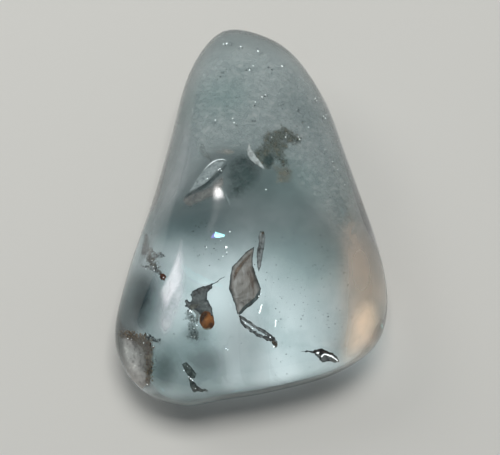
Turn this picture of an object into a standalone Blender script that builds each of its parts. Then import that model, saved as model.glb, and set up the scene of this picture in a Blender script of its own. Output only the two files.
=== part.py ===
"""A tumbled topaz crystal, lying on the flat that its cleavage left underneath.

One natural stone, so one solid. Metres, +Z up. The origin is on the table, under the middle of the
stone's outline. +Y runs along the stone to its narrow end.
"""

import math

import bmesh
import bpy
import numpy as np
from mathutils import Matrix, Vector, noise

MM = 0.001

# Driving dimensions
LENGTH = 27.95 * MM
WIDTH = 20.05 * MM
GIRDLE_HEIGHT = 4.7 * MM
CROWN_HEIGHT = 6.2 * MM
BELLY_DEPTH = 5.3 * MM
# The stone leans on its broad end, so its girdle is lower there
LEAN = math.radians(5)

# The crown and belly curve away from the girdle as superellipses: 2 is a round arch, more is a boxier one
CROWN_FULLNESS = 2.3
BELLY_FULLNESS = 2.5
NARROW_END_FULLNESS = 0.5

# The outline seen from above, clockwise from the narrow end, in millimetres
OUTLINE_MM = [
    (-0.8, 14.2),
    (3.1, 12.7),
    (5.8, 9.1),
    (7.2, 5.1),
    (8.5, 1.1),
    (9.8, -3.1),
    (10.1, -6.6),
    (9.1, -9.6),
    (6.0, -11.8),
    (1.2, -13.15),
    (-1.9, -13.65),
    (-4.8, -14.1),
    (-8.1, -12.6),
    (-10.1, -9.0),
    (-9.3, -4.5),
    (-7.4, 0.8),
    (-6.0, 6.0),
    (-4.8, 10.6),
    (-2.9, 13.5),
]
CURVE_STEPS = 20
CROWN_MIDDLE = Vector((0.0, -1.6, 0.0)) * MM

# Flats that the crystal's old faces left on the pebble: which way each faces, how far its plane is from
# the crown's middle at girdle height, and how softly it meets the rest
OLD_FACES = {
    "left_flank": (Vector((-0.80, 0.18, 0.57)), 8.6 * MM, 1.8 * MM),
    "right_flank": (Vector((0.62, 0.25, 0.74)), 8.1 * MM, 1.8 * MM),
    "broad_end": (Vector((0.12, -0.72, 0.68)), 11.1 * MM, 1.0 * MM),
    "narrow_end_top": (Vector((-0.06, 0.36, 0.93)), 8.4 * MM, 1.2 * MM),
    "narrow_end_under": (Vector((0.02, 0.26, -0.96)), 6.3 * MM, 0.9 * MM),
    "left_under": (Vector((-0.66, 0.05, -0.75)), 7.9 * MM, 0.9 * MM),
}

# The rolling unevenness of a tumbled skin
ROLL_DEPTH = 0.10 * MM
ROLL_SPACING = 6.0 * MM
ROLL_SEED = Vector((3.7, 1.2, 8.1))

# Open pits where cracks and inclusions reach the skin: middle seen from above, length, width and depth
# in millimetres, then the turn of the length in degrees, anticlockwise from +X
PITS = {
    "broad_end_crack": ((5.2, -10.3), 2.5, 0.8, 0.35, -28),
    "corner_scoop": ((-8.2, -10.3), 3.6, 2.2, 0.45, -74),
    "left_rim_hollow": ((-7.6, -3.1), 1.7, 0.9, 0.35, -62),
    "front_slot": ((-4.3, -12.0), 2.3, 0.7, 0.35, -58),
    "narrow_end_pock": ((-1.3, 12.3), 0.7, 0.5, 0.22, 10),
    "crown_pock": ((-1.2, 10.6), 0.8, 0.5, 0.22, 20),
    "right_flank_pock": ((4.7, 6.6), 0.7, 0.5, 0.22, -40),
    "right_rim_pock": ((6.7, -0.8), 0.8, 0.5, 0.25, -70),
    "crown_crack": ((1.0, 3.9), 1.9, 0.6, 0.30, -55),
}
PIT_ROUGHNESS = 0.16
PIT_CRUMPLES = 2.1
SKY = Vector((0.0, 0.0, 50.0)) * MM

CUTS_PER_SIDE = 23


def outline_radius():
    """A function that gives the outline's distance from the crown's middle, for an angle round it."""
    points = [Vector((x, y)) * MM - CROWN_MIDDLE.xy for x, y in OUTLINE_MM]
    count = len(points)
    angles, radii = [], []
    for i in range(count):
        before, start, end, after = (points[(i + k) % count] for k in (-1, 0, 1, 2))
        for step in range(CURVE_STEPS):
            # A Catmull-Rom curve, which passes through every point
            t = step / CURVE_STEPS
            spot = (
                start
                + (end - before) * (t / 2)
                + (before - start * 2.5 + end * 2 - after / 2) * t**2
                + ((start - end) * 1.5 + (after - before) / 2) * t**3
            )
            angles.append(math.atan2(spot.y, spot.x))
            radii.append(spot.length)
    return lambda angle: float(np.interp(angle, angles, radii, period=2 * math.pi))


def on_pebble(direction, radius_at):
    """Where the rounded body's skin is, seen from the crown's middle at girdle height."""
    fullness = CROWN_FULLNESS if direction.z > 0 else BELLY_FULLNESS
    fullness += NARROW_END_FULLNESS * max(direction.y, 0.0)
    height = CROWN_HEIGHT if direction.z > 0 else BELLY_DEPTH
    across = math.hypot(direction.x, direction.y)
    rise = height * math.copysign(abs(direction.z) ** (2 / fullness), direction.z)
    if across < 1e-9:
        return Vector((0, 0, rise))
    reach = radius_at(math.atan2(direction.y, direction.x)) * across ** (2 / fullness)
    return Vector((direction.x / across * reach, direction.y / across * reach, rise))


def worn_to(point, facing, distance, softness):
    """The point, pressed softly behind one old face's plane."""
    normal = facing.normalized()
    over = (point.dot(normal) - distance) / softness
    pressed = softness * (math.log1p(math.exp(-abs(over))) + max(over, 0.0))
    return point - normal * pressed


def topaz_skin():
    """The closed skin of the stone, as a cube whose grid is blown up into the pebble."""
    radius_at = outline_radius()
    skin = bmesh.new()
    bmesh.ops.create_cube(skin, size=2)
    bmesh.ops.subdivide_edges(skin, edges=skin.edges[:], cuts=CUTS_PER_SIDE, use_grid_fill=True)
    for vert in skin.verts:
        # The tangent spreads the cube's grid evenly over the ball
        direction = Vector([math.tan(part * math.pi / 4) for part in vert.co]).normalized()
        point = on_pebble(direction, radius_at)
        for facing, distance, softness in OLD_FACES.values():
            point = worn_to(point, facing, distance, softness)
        roll = noise.noise(point / ROLL_SPACING + ROLL_SEED) * ROLL_DEPTH
        vert.co = point + direction * roll
    return skin


def lay_on_table(skin):
    """The skin brought to the driving length and width, centred, and cut flat where the stone rests."""
    bmesh.ops.rotate(skin, verts=skin.verts[:], matrix=Matrix.Rotation(LEAN, 3, "X"))
    low = Vector([min(v.co[axis] for v in skin.verts) for axis in range(3)])
    high = Vector([max(v.co[axis] for v in skin.verts) for axis in range(3)])
    middle = (low + high) / 2
    for vert in skin.verts:
        vert.co.x = (vert.co.x - middle.x) * WIDTH / (high.x - low.x)
        vert.co.y = (vert.co.y - middle.y) * LENGTH / (high.y - low.y)
        vert.co.z += GIRDLE_HEIGHT
    everything = skin.verts[:] + skin.edges[:] + skin.faces[:]
    cut = bmesh.ops.bisect_plane(
        skin, geom=everything, plane_co=(0, 0, 0), plane_no=(0, 0, -1), clear_outer=True
    )
    rim = [item for item in cut["geom_cut"] if isinstance(item, bmesh.types.BMEdge)]
    bmesh.ops.holes_fill(skin, edges=rim)
    bmesh.ops.recalc_face_normals(skin, faces=skin.faces[:])


def topaz_material():
    material = bpy.data.materials.new("topaz")
    material.use_nodes = True
    shader = material.node_tree.nodes["Principled BSDF"]
    shader.inputs["Base Color"].default_value = (0.62, 0.74, 0.76, 1.0)
    shader.inputs["Roughness"].default_value = 0.05
    shader.inputs["Metallic"].default_value = 0.0
    shader.inputs["IOR"].default_value = 1.62
    shader.inputs["Transmission Weight"].default_value = 1.0
    return material


def linked(name, mesh):
    obj = bpy.data.objects.new(name, mesh)
    bpy.context.scene.collection.objects.link(obj)
    return obj


def pit_cutter(name, stone, place, length, width, depth, turn):
    """A crumpled lozenge that is sunk in the stone's upper side by the pit's depth."""
    seen_at = Vector((*place, 0.0))
    hit, spot, normal, _ = stone.ray_cast(seen_at * MM + SKY, (0, 0, -1))
    if not hit:
        raise ValueError(f"{name} isn't above the stone")
    shape = bmesh.new()
    bmesh.ops.create_icosphere(shape, subdivisions=2, radius=1)
    heading = Vector((math.cos(math.radians(turn)), math.sin(math.radians(turn)), 0.0))
    along = heading - normal * heading.dot(normal)
    along.normalize()
    across = normal.cross(along)
    for vert in shape.verts:
        crumple = 1 + PIT_ROUGHNESS * noise.noise(vert.co * PIT_CRUMPLES + seen_at)
        beside = along * (vert.co.x * length / 2) + across * (vert.co.y * width / 2)
        vert.co = spot + (beside + normal * (vert.co.z * depth)) * crumple * MM
    mesh = bpy.data.meshes.new(name)
    shape.to_mesh(mesh)
    shape.free()
    cutter = linked(name, mesh)
    cutter.hide_render = True
    cutter.display_type = "WIRE"
    return cutter


def build():
    for obj in list(bpy.data.objects):
        bpy.data.objects.remove(obj, do_unlink=True)
    skin = topaz_skin()
    lay_on_table(skin)
    mesh = bpy.data.meshes.new("topaz_crystal")
    skin.to_mesh(mesh)
    skin.free()
    mesh.materials.append(topaz_material())
    mesh.shade_smooth()
    stone = linked("topaz_crystal", mesh)
    bpy.context.view_layer.update()
    cutters = [pit_cutter(name, stone, *sizes) for name, sizes in PITS.items()]
    for cutter in cutters:
        pit = stone.modifiers.new(cutter.name, "BOOLEAN")
        pit.operation = "DIFFERENCE"
        pit.object = cutter


build()
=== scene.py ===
"""A tumbled topaz on pale paper, seen from above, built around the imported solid."""

import math
import random

import bpy
from mathutils import Euler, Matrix, Quaternion, Vector, noise
from mathutils.bvhtree import BVHTree


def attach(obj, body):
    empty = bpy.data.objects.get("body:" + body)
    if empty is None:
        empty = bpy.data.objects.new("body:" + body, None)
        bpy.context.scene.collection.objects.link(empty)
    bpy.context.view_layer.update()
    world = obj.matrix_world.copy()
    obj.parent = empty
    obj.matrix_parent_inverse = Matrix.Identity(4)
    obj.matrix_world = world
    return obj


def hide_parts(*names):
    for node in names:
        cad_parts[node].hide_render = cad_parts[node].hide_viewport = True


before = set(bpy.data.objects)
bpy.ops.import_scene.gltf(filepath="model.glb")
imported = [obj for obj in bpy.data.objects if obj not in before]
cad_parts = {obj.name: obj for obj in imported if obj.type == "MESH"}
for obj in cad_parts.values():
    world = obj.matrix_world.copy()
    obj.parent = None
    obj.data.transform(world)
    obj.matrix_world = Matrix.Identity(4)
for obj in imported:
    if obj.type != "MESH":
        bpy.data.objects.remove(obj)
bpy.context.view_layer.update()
bpy.ops.object.select_all(action="DESELECT")
MM = 0.001

# The camera looks down on the stone, a little from its broad end, from arm's length with a long lens.
# Its lens makes a millimetre at the stone's widest level 13.6 pixels of a picture 500 wide.
PICTURE_WIDTH_PX = 500
PX_PER_MM = 13.6
EYE_DISTANCE = 115 * MM
EYE_ELEVATION = math.radians(78)
AIM = Vector((-0.1, -0.9, 4.7)) * MM
back = Vector((0, -math.cos(EYE_ELEVATION), math.sin(EYE_ELEVATION)))
eye = AIM + back * EYE_DISTANCE
bpy.ops.object.camera_add(location=eye, rotation=(math.pi / 2 - EYE_ELEVATION, 0, 0))
camera = bpy.context.object
camera.data.sensor_width = 36
camera.data.lens = PX_PER_MM * (EYE_DISTANCE / MM) * camera.data.sensor_width / PICTURE_WIDTH_PX
camera.data.clip_start = 1 * MM
bpy.context.scene.camera = camera
bpy.context.scene.view_settings.view_transform = "Standard"

# The table is one sheet of pale grey paper, a hair below the stone, with its edges far away.
PAPER_SIZE = 3.0
PAPER_GAP = 0.03 * MM
bpy.ops.mesh.primitive_plane_add(size=PAPER_SIZE, location=(0, 0, -PAPER_GAP))
paper = bpy.context.object
paper.name = "paper"
paper_finish = bpy.data.materials.new("pale_paper")
paper_finish.use_nodes = True
paper_shader = paper_finish.node_tree.nodes["Principled BSDF"]
paper_shader.inputs["Base Color"].default_value = (0.665, 0.665, 0.64, 1)
paper_shader.inputs["Roughness"].default_value = 0.9
paper_shader.inputs["Specular IOR Level"].default_value = 0.2
paper.data.materials.append(paper_finish)

# The light: a dim even room, a soft lamp behind the stone and a weak one at its left, a small bright one
# with a halo whose image is the stone's highlight, and a wide window whose image is the pale streak.
ROOM_COLOUR = (0.86, 0.92, 0.95, 1)
ROOM_STRENGTH = 0.2
LAMPS = {
    # Bearing and zenith in degrees, distance, width and height in m, watts, colour, turn, share that fades
    "key_lamp": (8, 15, 0.36, 0.15, 0.12, 0.79, (1.0, 0.98, 0.95), 0, 0),
    "left_fill": (-52, 50, 0.22, 0.1, 0.1, 0.09, (1.0, 0.99, 0.97), 0, 0),
    "glint_lamp": (-56.5, 31.5, 0.4, 0.01, 0.115, 0.08, (1.0, 0.97, 0.96), 28, 0.5),
    "left_window": (-83.6, 57.0, 0.4, 0.2, 0.106, 0.36, (1.0, 0.93, 0.96), 52, 0.26),
    "glint_halo": (-56.5, 31.5, 0.41, 0.036, 0.13, 0.03, (1.0, 0.97, 0.96), 28, 0.5),
}
world = bpy.data.worlds.new("dim_room")
bpy.context.scene.world = world
world.use_nodes = True
world.node_tree.nodes["Background"].inputs["Color"].default_value = ROOM_COLOUR
world.node_tree.nodes["Background"].inputs["Strength"].default_value = ROOM_STRENGTH


def add(tree, kind, inputs, **settings):
    """A new shader node. Each input takes another node's socket, or else a plain value."""
    node = tree.nodes.new("ShaderNode" + kind)
    for setting, value in settings.items():
        setattr(node, setting, value)
    for socket, value in inputs.items():
        if isinstance(value, bpy.types.NodeSocket):
            tree.links.new(value, node.inputs[socket])
        else:
            node.inputs[socket].default_value = value
    return node


def fade_edges(lamp, margin):
    """Lets a lamp grow dark towards its edges, from the given share of its width inwards."""
    lamp.data.use_nodes = True
    glow = lamp.data.node_tree
    place = add(glow, "NewGeometry", {})
    split = add(glow, "SeparateXYZ", {0: place.outputs["Parametric"]})
    strength = 1.0
    for axis in ("X", "Y"):
        off_middle = add(glow, "Math", {0: split.outputs[axis], 1: 0.5}, operation="SUBTRACT")
        either_side = add(glow, "Math", {0: off_middle.outputs[0]}, operation="ABSOLUTE")
        span = {"Value": either_side.outputs[0], "From Min": 0.5, "From Max": 0.5 - margin}
        bright = add(glow, "MapRange", span, interpolation_type="SMOOTHSTEP")
        strength = add(glow, "Math", {0: strength, 1: bright.outputs[0]}, operation="MULTIPLY").outputs[0]
    glow.links.new(strength, glow.nodes["Emission"].inputs["Strength"])


for name, (bearing, zenith, distance, width, height, watts, hue, turn, margin) in LAMPS.items():
    # The bearing runs clockwise from +Y, seen from above, and the lamp faces the stone
    zenith, bearing = math.radians(zenith), math.radians(bearing)
    across = math.sin(zenith) * distance
    spot = Vector((across * math.sin(bearing), across * math.cos(bearing), math.cos(zenith) * distance))
    facing = (-spot).to_track_quat("-Z", "Y") @ Quaternion((0, 0, 1), math.radians(turn))
    bpy.ops.object.light_add(type="AREA", location=spot, rotation=facing.to_euler())
    lamp = bpy.context.object
    lamp.name = name
    lamp.data.shape = "RECTANGLE"
    lamp.data.size = width
    lamp.data.size_y = height
    lamp.data.energy = watts
    lamp.data.color = hue
    lamp.visible_transmission = False
    if margin:
        lamp.visible_diffuse = False
        fade_edges(lamp, margin)
    else:
        lamp.visible_glossy = False

# The stone: one clear blue-grey pebble of topaz, worn round by tumbling. Its skin is the solid's, drawn
# finer and polished, with softer edges to its open pits.
WELD = 0.001 * MM
STONE_VOXEL = 0.17 * MM
SMOOTHING_ROUNDS = 60
REFRACTION = 1.62
stone = bpy.data.objects.new("topaz_stone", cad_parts["topaz_crystal"].data.copy())
bpy.context.scene.collection.objects.link(stone)
stone.data.materials.clear()
bpy.context.view_layer.objects.active = stone
stone.select_set(True)
bpy.ops.object.mode_set(mode="EDIT")
bpy.ops.mesh.select_all(action="SELECT")
bpy.ops.mesh.remove_doubles(threshold=WELD)
bpy.ops.object.mode_set(mode="OBJECT")
skin = stone.modifiers.new("skin", "REMESH")
skin.mode = "VOXEL"
skin.voxel_size = STONE_VOXEL
bpy.ops.object.modifier_apply(modifier=skin.name)
polish = stone.modifiers.new("polish", "SMOOTH")
polish.factor = 0.5
polish.iterations = SMOOTHING_ROUNDS
bpy.ops.object.modifier_apply(modifier=polish.name)
smooth_skin = BVHTree.FromObject(stone, bpy.context.evaluated_depsgraph_get())
bpy.ops.object.shade_smooth()
stone.select_set(False)


def node_group(name, taken, given):
    """An empty node group and its two ends, with the sockets that it takes and gives, and their kinds."""
    group = bpy.data.node_groups.new(name, "ShaderNodeTree")
    for way, sockets in (("INPUT", taken), ("OUTPUT", given)):
        for socket_name, kind in sockets.items():
            group.interface.new_socket(socket_name, in_out=way, socket_type="NodeSocket" + kind)
    return group, group.nodes.new("NodeGroupInput").outputs, group.nodes.new("NodeGroupOutput").inputs


soft_spot, spot_in, spot_out = node_group(
    "soft_spot", {"Point": "Vector", "Middle": "Vector", "Reach": "Vector"}, {"Mask": "Float"}
)
offset = add(soft_spot, "VectorMath", {0: spot_in["Point"], 1: spot_in["Middle"]}, operation="SUBTRACT")
scaled = add(soft_spot, "VectorMath", {0: offset.outputs[0], 1: spot_in["Reach"]}, operation="DIVIDE")
far = add(soft_spot, "VectorMath", {0: scaled.outputs[0]}, operation="LENGTH")
falling = {"Value": far.outputs["Value"], "From Min": 1.0, "From Max": 0.0}
near = add(soft_spot, "MapRange", falling, interpolation_type="SMOOTHERSTEP")
soft_spot.links.new(near.outputs["Result"], spot_out["Mask"])

ANY_HEIGHT = 100
CLEAR_COLOUR = (0.97, 0.98, 0.98, 1)
# All zones but teal_waist, pink_rim and peach_rim are painted shade: they darken the stone where it shows
# dark surroundings and its own shadow. Those three are tints.
TINTS_AND_PAINTED_SHADE = {  # middle (x, y), reach (x, y) in mm, colour, strength
    "painted_shade_middle": ((-3.5, -1.1), (4.2, 2.8), (0.3, 0.4, 0.41), 0.9),
    "painted_shade_left": ((-7.8, -6.4), (4.4, 6.2), (0.002, 0.009, 0.012), 1.0),
    "painted_shade_grains": ((-3.6, -9.3), (3.0, 2.8), (0.42, 0.48, 0.48), 0.9),
    "painted_shade_front": ((-4.8, -10.8), (4.6, 3.4), (0.45, 0.52, 0.51), 0.8),
    "painted_shade_corner": ((-6.5, -11.4), (2.8, 2.6), (0.12, 0.17, 0.16), 0.8),
    "painted_shade_shoulder": ((3.9, -3.1), (5.6, 4.4), (0.46, 0.54, 0.53), 0.9),
    "teal_waist": ((1.8, 1.6), (5.0, 3.4), (0.84, 0.98, 0.97), 1.0),
    "teal_hollow": ((-2.0, 7.8), (3.4, 2.8), (0.66, 0.8, 0.79), 0.9),
    "painted_shade_knee": ((-0.5, 2.6), (2.4, 1.8), (0.4, 0.48, 0.47), 0.6),
    "pink_rim": ((8.0, -3.2), (5.4, 10.0), (1.0, 0.82, 0.74), 0.9),
    "peach_rim": ((9.2, -6.4), (4.0, 7.5), (1.0, 0.76, 0.6), 1.0),
}
topaz = bpy.data.materials.new("clear_topaz")
topaz.use_nodes = True
clear = topaz.node_tree
shader = clear.nodes["Principled BSDF"]
where = add(clear, "TexCoord", {}).outputs["Object"]


def spot_mask(middle, reach):
    """1 in the middle of an upright oval, falling softly to 0 at its edge."""
    place = {
        "Point": where,
        "Middle": (middle[0] * MM, middle[1] * MM, 0),
        "Reach": (reach[0] * MM, reach[1] * MM, ANY_HEIGHT),
    }
    return add(clear, "Group", place, node_tree=soft_spot).outputs["Mask"]


def ramp(value, low, high, to_low=0.0, to_high=1.0):
    """Grows softly from to_low, where the value is low, to to_high, where it is high."""
    span = {"Value": value, "From Min": low, "From Max": high, "To Min": to_low, "To Max": to_high}
    return add(clear, "MapRange", span, interpolation_type="SMOOTHSTEP").outputs["Result"]


def joined(operation, one, other):
    """Two values multiplied, or compared. Either may be a plain number."""
    return add(clear, "Math", {0: one, 1: other}, operation=operation).outputs[0]


def blend(share, one, other):
    """Two colours mixed."""
    return add(clear, "Mix", {"Factor": share, 6: one, 7: other}, data_type="RGBA").outputs[2]


colour = CLEAR_COLOUR
for middle, reach, zone_colour, strength in TINTS_AND_PAINTED_SHADE.values():
    colour = blend(joined("MULTIPLY", spot_mask(middle, reach), strength), colour, (*zone_colour, 1))
clouds = add(clear, "TexNoise", {"Vector": where, "Scale": 0.34 / MM, "Detail": 3.0})
colour = blend(ramp(clouds.outputs["Fac"], 0.42, 0.66, 0.0, 0.36), colour, (0.3, 0.42, 0.42, 1))

# The front wall and the left wall carry painted shade, dark teal at their feet, where they show the
# shadowed paper. The underside is dull from the sand that wore it, and so are the right flank and the
# narrow end, which is also finely pocked.
LEFT_FOOT_SHADE = ((-9.4, -8.6), (6.0, 6.5))
NARROW_END = ((0.8, 12.0), (11.0, 13.0))
RIGHT_FLANK = ((7.8, -4.6), (2.8, 6.4))
skin_normal = add(clear, "NewGeometry", {}).outputs["Normal"]
lean = add(clear, "SeparateXYZ", {0: skin_normal}).outputs
colour = blend(ramp(lean["Y"], -0.8, -0.97), colour, (0.04, 0.075, 0.08, 1))
left_foot_shade = joined("MULTIPLY", spot_mask(*LEFT_FOOT_SHADE), ramp(lean["X"], -0.6, -0.9))
clear.links.new(blend(left_foot_shade, colour, (0.06, 0.09, 0.095, 1)), shader.inputs["Base Color"])
narrow_end = spot_mask(*NARROW_END)
dull = joined("MAXIMUM", ramp(lean["Z"], 0.3, -0.1, 0.0, 0.3), ramp(narrow_end, 0.15, 0.8, 0.0, 0.16))
dull = joined("MAXIMUM", dull, joined("MULTIPLY", spot_mask(*RIGHT_FLANK), 0.3))
clear.links.new(dull, shader.inputs["Roughness"])
pock_noise = add(clear, "TexNoise", {"Vector": where, "Scale": 2.6 / MM, "Detail": 4.0, "Roughness": 0.7})
pock_depth = ramp(narrow_end, 0.05, 0.7, 0.0, 0.7)
pitted = {"Strength": pock_depth, "Distance": 0.05 * MM, "Height": pock_noise.outputs["Fac"]}
pocked = add(clear, "Bump", pitted)
clear.links.new(pocked.outputs["Normal"], shader.inputs["Normal"])
shader.inputs["IOR"].default_value = REFRACTION
shader.inputs["Transmission Weight"].default_value = 1.0
tint = add(clear, "VolumeAbsorption", {"Color": (0.61, 0.76, 0.81, 1), "Density": 17})
clear.links.new(tint.outputs["Volume"], clear.nodes["Material Output"].inputs["Volume"])

# Light from the lamps passes straight through, gathers under the broad end, and is lost at the steep rim.
# The lower right wall is clearer than the rest.
FOCUS = ((-1.3, -7.3), (11.4, 9.7))
CLEAR_WALL = ((8.6, -7.6), (5.0, 6.4))
FLOOR_LEVEL = 4 * MM
DIMMEST, BRIGHTEST = 0.52, 2.15
gathering = {"Value": spot_mask(*FOCUS), "To Min": DIMMEST, "To Max": BRIGHTEST}
pool = add(clear, "MapRange", gathering).outputs[0]
clear_wall = spot_mask(*CLEAR_WALL)
wall_share = joined("MAXIMUM", ramp(lean["Z"], -0.6, -0.92, 0.02), joined("MULTIPLY", clear_wall, 1.8))
under = joined("LESS_THAN", add(clear, "SeparateXYZ", {0: where}).outputs["Z"], FLOOR_LEVEL)
pool = joined("MULTIPLY", pool, wall_share)
floor_share = add(clear, "Mix", {"Factor": under, 2: 1.0, 3: pool}).outputs[0]
slant = add(clear, "LayerWeight", {"Blend": 0.5}).outputs["Facing"]
rim_share = joined("MAXIMUM", ramp(slant, 0.25, 0.62, 1.0, 0.04), joined("MULTIPLY", clear_wall, 0.9))
let_by = {"Factor": 1.0, 6: (0.92, 1.0, 1.04, 1), 7: joined("MULTIPLY", floor_share, rim_share)}
gathered = add(clear, "Mix", let_by, data_type="RGBA", blend_type="MULTIPLY")
passing = add(clear, "BsdfTransparent", {"Color": gathered.outputs[2]})
shadow_ray = add(clear, "LightPath", {}).outputs["Is Shadow Ray"]
seen = add(clear, "MixShader", {0: shadow_ray, 1: shader.outputs[0], 2: passing.outputs[0]})
clear.links.new(seen.outputs[0], clear.nodes["Material Output"].inputs["Surface"])
stone.data.materials.append(topaz)
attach(stone, "root")
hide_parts("topaz_crystal")

# The leaf: a healed fracture, a crumpled sheet with brown streaks between dull grey walls. It formed in the
# crystal, and steep cracks run on from both its ends: a dark sliver above, and a twisted tail below.
GIRDLE = 4.7
SHALLOWEST = 0.15
SHARP_FOLD = math.radians(40)
FOLDS_PER_MM, CREASES_PER_MM, TEETH_PER_MM = 1.7, 4.3, 5.0
CREASE_SHARE = 0.6
STEP_INWARDS = 0.03
# Without a seed the teeth of each film's edge would differ from run to run
FRAY_SEED = 7
noise.seed_set(FRAY_SEED)
LEAF_OUTLINE = [
    (0.22, -2.37), (-0.34, -2.68), (-0.93, -3.36), (-1.39, -3.82), (-1.53, -4.5), (-1.63, -5.48),
    (-1.44, -5.96), (-1.14, -6.72), (-1.03, -7.32), (-0.84, -7.39), (-0.39, -6.96), (0.13, -6.57),
    (0.57, -6.12), (0.7, -5.45), (0.4, -4.66), (0.11, -3.74), (0.11, -2.98),
]
SLIVER_OUTLINE = [
    (0.68, -1.18), (0.92, -1.24), (1.03, -1.6), (0.98, -2.1), (0.85, -2.83), (0.7, -3.74), (0.54, -4.2),
    (0.4, -3.51), (0.41, -2.75), (0.58, -1.99), (0.56, -1.5),
]
TAIL_OUTLINES = (
    [(-0.86, -7.42), (-0.31, -7.78), (0.36, -8.22), (1.02, -8.58), (1.5, -8.95), (1.9, -9.35),
     (1.62, -9.62), (1.4, -9.12), (0.95, -8.78), (0.3, -8.4), (-0.35, -7.95), (-0.8, -7.66)],
    [(-0.84, -7.6), (-0.46, -8.05), (-0.09, -8.36), (0.43, -8.74), (0.95, -8.96), (1.46, -9.18),
     (1.44, -9.34), (0.9, -9.14), (0.38, -8.92), (-0.15, -8.54), (-0.56, -8.18), (-0.9, -7.72)],
)


def inside(x, y, depth):
    """A place depth mm under the stone's skin, which the camera sees at (x, y) of the girdle's level."""
    sight = (Vector((x, y, GIRDLE)) * MM - eye).normalized()
    spot, normal, _, _ = smooth_skin.ray_cast(eye, sight)
    if spot is None:
        return None
    steep = -sight.dot(normal)
    leaning = steep / REFRACTION - math.sqrt(1 - (1 - steep**2) / REFRACTION**2)
    return spot + (sight / REFRACTION + normal * leaning) * depth * MM


def off_edge(spot, outline):
    """How far a spot of a film is from its outline, in mm."""
    gaps = []
    for start, end in zip(outline, outline[1:] + outline[:1]):
        start, side = Vector(start), Vector(end) - Vector(start)
        share = min(max((spot - start).dot(side) / side.length_squared, 0), 1)
        gaps.append((start + side * share - spot).length)
    return min(gaps)


def finish_piece(piece, finish):
    piece.data.materials.clear()
    piece.data.materials.append(finish)
    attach(piece, "root")
    piece.select_set(False)


def film(
    name, finish, outline, depth,
    dip=(0, 0), crumple=0.15, fray=0.04, rim=0.12, cuts=5, thick=0.03, slot="inclusion",
):
    """A crumpled sheet inside the stone. dip is how many mm deeper it gets for each mm along x and y, and
    rim is the width of its edge band, which its finish reads as the attribute rim."""
    bpy.ops.mesh.primitive_circle_add(vertices=len(outline), fill_type="NGON")
    sheet = bpy.context.object
    sheet.name = name
    for vert, (x, y) in zip(sheet.data.vertices, outline):
        vert.co = (x, y, 0)
    bpy.ops.object.mode_set(mode="EDIT")
    bpy.ops.mesh.select_all(action="SELECT")
    bpy.ops.mesh.quads_convert_to_tris(ngon_method="BEAUTY")
    bpy.ops.mesh.subdivide(number_cuts=cuts)
    bpy.ops.object.mode_set(mode="OBJECT")
    bands = sheet.data.attributes.new("rim", "FLOAT", "POINT")
    middle = sum((Vector(corner) for corner in outline), Vector((0, 0))) / len(outline)
    for vert in sheet.data.vertices:
        spot = vert.co.xy
        bands.data[vert.index].value = max(1 - off_edge(spot, outline) / rim, 0)
        level = depth + (spot.x - middle.x) * dip[0] + (spot.y - middle.y) * dip[1]
        folds = noise.noise(vert.co * FOLDS_PER_MM) + CREASE_SHARE * noise.noise(vert.co * CREASES_PER_MM)
        level += crumple * folds
        shift = noise.noise_vector(vert.co * TEETH_PER_MM) * fray
        place = inside(spot.x + shift.x, spot.y + shift.y, max(level, SHALLOWEST))
        while place is None:
            spot = spot.lerp(middle, STEP_INWARDS)
            place = inside(spot.x, spot.y, max(level, SHALLOWEST))
        vert.co = place
    bpy.ops.object.mode_set(mode="EDIT")
    bpy.ops.mesh.select_all(action="SELECT")
    bpy.ops.mesh.normals_make_consistent(inside=False)
    bpy.ops.object.mode_set(mode="OBJECT")
    if thick:
        walls = sheet.modifiers.new("walls", "SOLIDIFY")
        walls.thickness = thick * MM
        bpy.ops.object.modifier_apply(modifier=walls.name)
    bpy.ops.object.shade_smooth_by_angle(angle=SHARP_FOLD)
    finish_piece(sheet, finish)


def veil(name, finish, outline, depth, **feel):
    """A film too thin to have walls."""
    film(name, finish, outline, depth, thick=0, **feel)


mottle, mottle_in, mottle_out = node_group(
    "mineral_mottle",
    {"Point": "Vector", "Stretch": "Vector", "Dark": "Color", "Middle": "Color", "Light": "Color"},
    {"Colour": "Color", "Height": "Float"},
)
drawn = add(mottle, "VectorMath", {0: mottle_in["Point"], 1: mottle_in["Stretch"]}, operation="MULTIPLY")
uneven = {"Vector": drawn.outputs[0], "Scale": 1.0, "Detail": 5.0, "Roughness": 0.65}
blotch = add(mottle, "TexNoise", uneven)
shade = mottle_in["Dark"]
for tone, low, high in (("Middle", 0.36, 0.5), ("Light", 0.52, 0.68)):
    span = {"Value": blotch.outputs["Fac"], "From Min": low, "From Max": high}
    step = add(mottle, "MapRange", span, interpolation_type="SMOOTHSTEP").outputs["Result"]
    shade = add(mottle, "Mix", {"Factor": step, 6: shade, 7: mottle_in[tone]}, data_type="RGBA").outputs[2]
mottle.links.new(shade, mottle_out["Colour"])
mottle.links.new(blotch.outputs["Fac"], mottle_out["Height"])


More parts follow.
